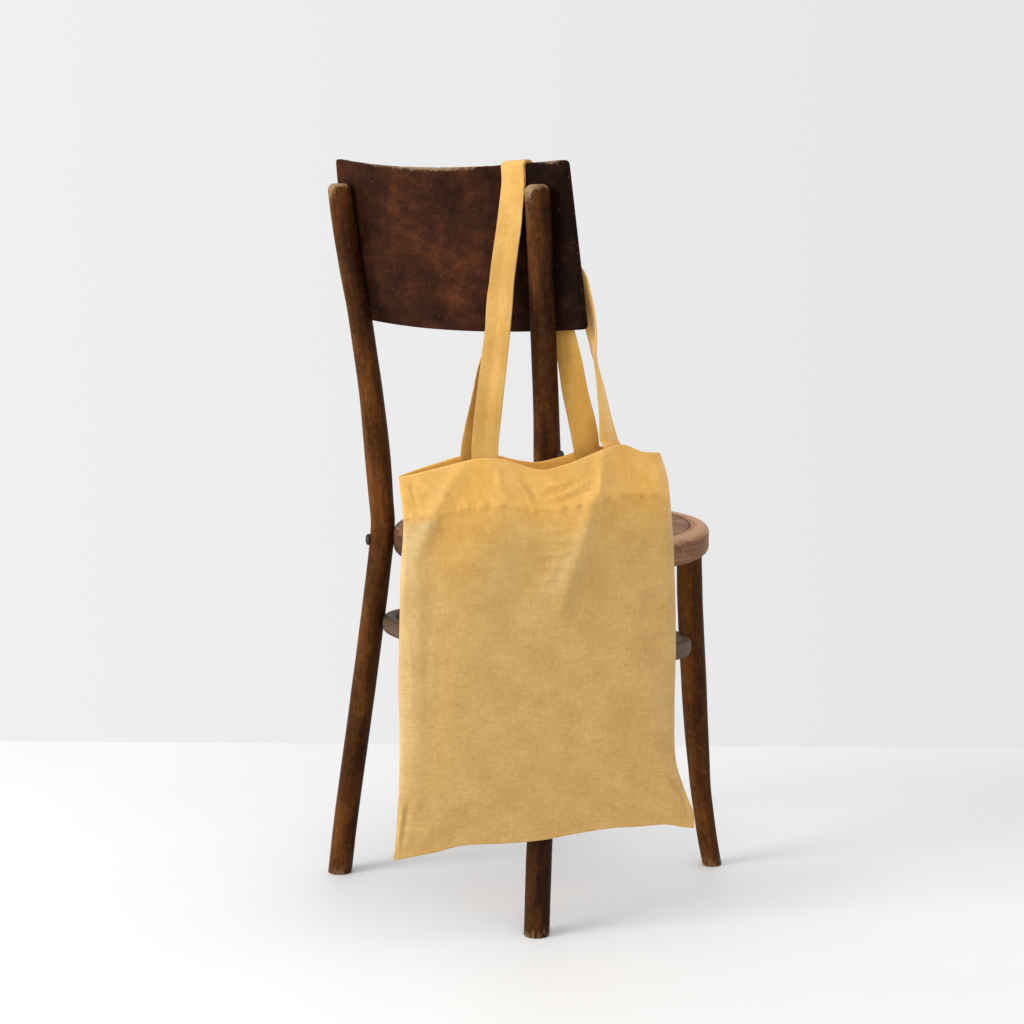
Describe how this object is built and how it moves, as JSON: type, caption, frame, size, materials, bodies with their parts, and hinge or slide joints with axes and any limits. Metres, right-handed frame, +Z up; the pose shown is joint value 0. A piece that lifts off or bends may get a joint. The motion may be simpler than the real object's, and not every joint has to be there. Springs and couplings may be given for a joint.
{
  "type": "linen tote bag on a bentwood chair",
  "caption": "Flat linen tote bag hanging by both handles over the corner of the back board of a plain bentwood chair with a round seat.",
  "frame": {"origin": "middle of the footprint, on the floor that the chair stands on", "axes": "+Z up; X along the bag's width; the bag's front looks towards -Y; the chair's back is turned 60 degrees clockwise from -Y, seen from above"},
  "size_m": [0.486, 0.4722, 0.881],
  "materials": {
    "bag_cloth": "washed linen, plain weave, matt",
    "handle_cloth": "washed linen, folded double and stitched, matt",
    "seat_wood": "bent and turned beech, brown stain worn thin",
    "hoop_wood": "bent beech, greyed brown stain",
    "board_wood": "dark reddish brown stain and old varnish",
    "leg_wood": "dark brown stain, worn in patches",
    "bolt_steel": "dark, dull"
  },
  "bodies": {
    "root": {"bag_front": "bag_cloth", "bag_back": "bag_cloth", "handle_front": "handle_cloth", "handle_back": "handle_cloth", "seat_ring": "seat_wood", "seat_panel": "seat_wood", "hoop": "hoop_wood", "back_board": "board_wood", "rear_leg_left": "leg_wood", "front_leg_left": "leg_wood", "rear_leg_right": "leg_wood", "front_leg_right": "leg_wood", "bolt_left": "bolt_steel", "bolt_right": "bolt_steel"}
  },
  "joints": []
}
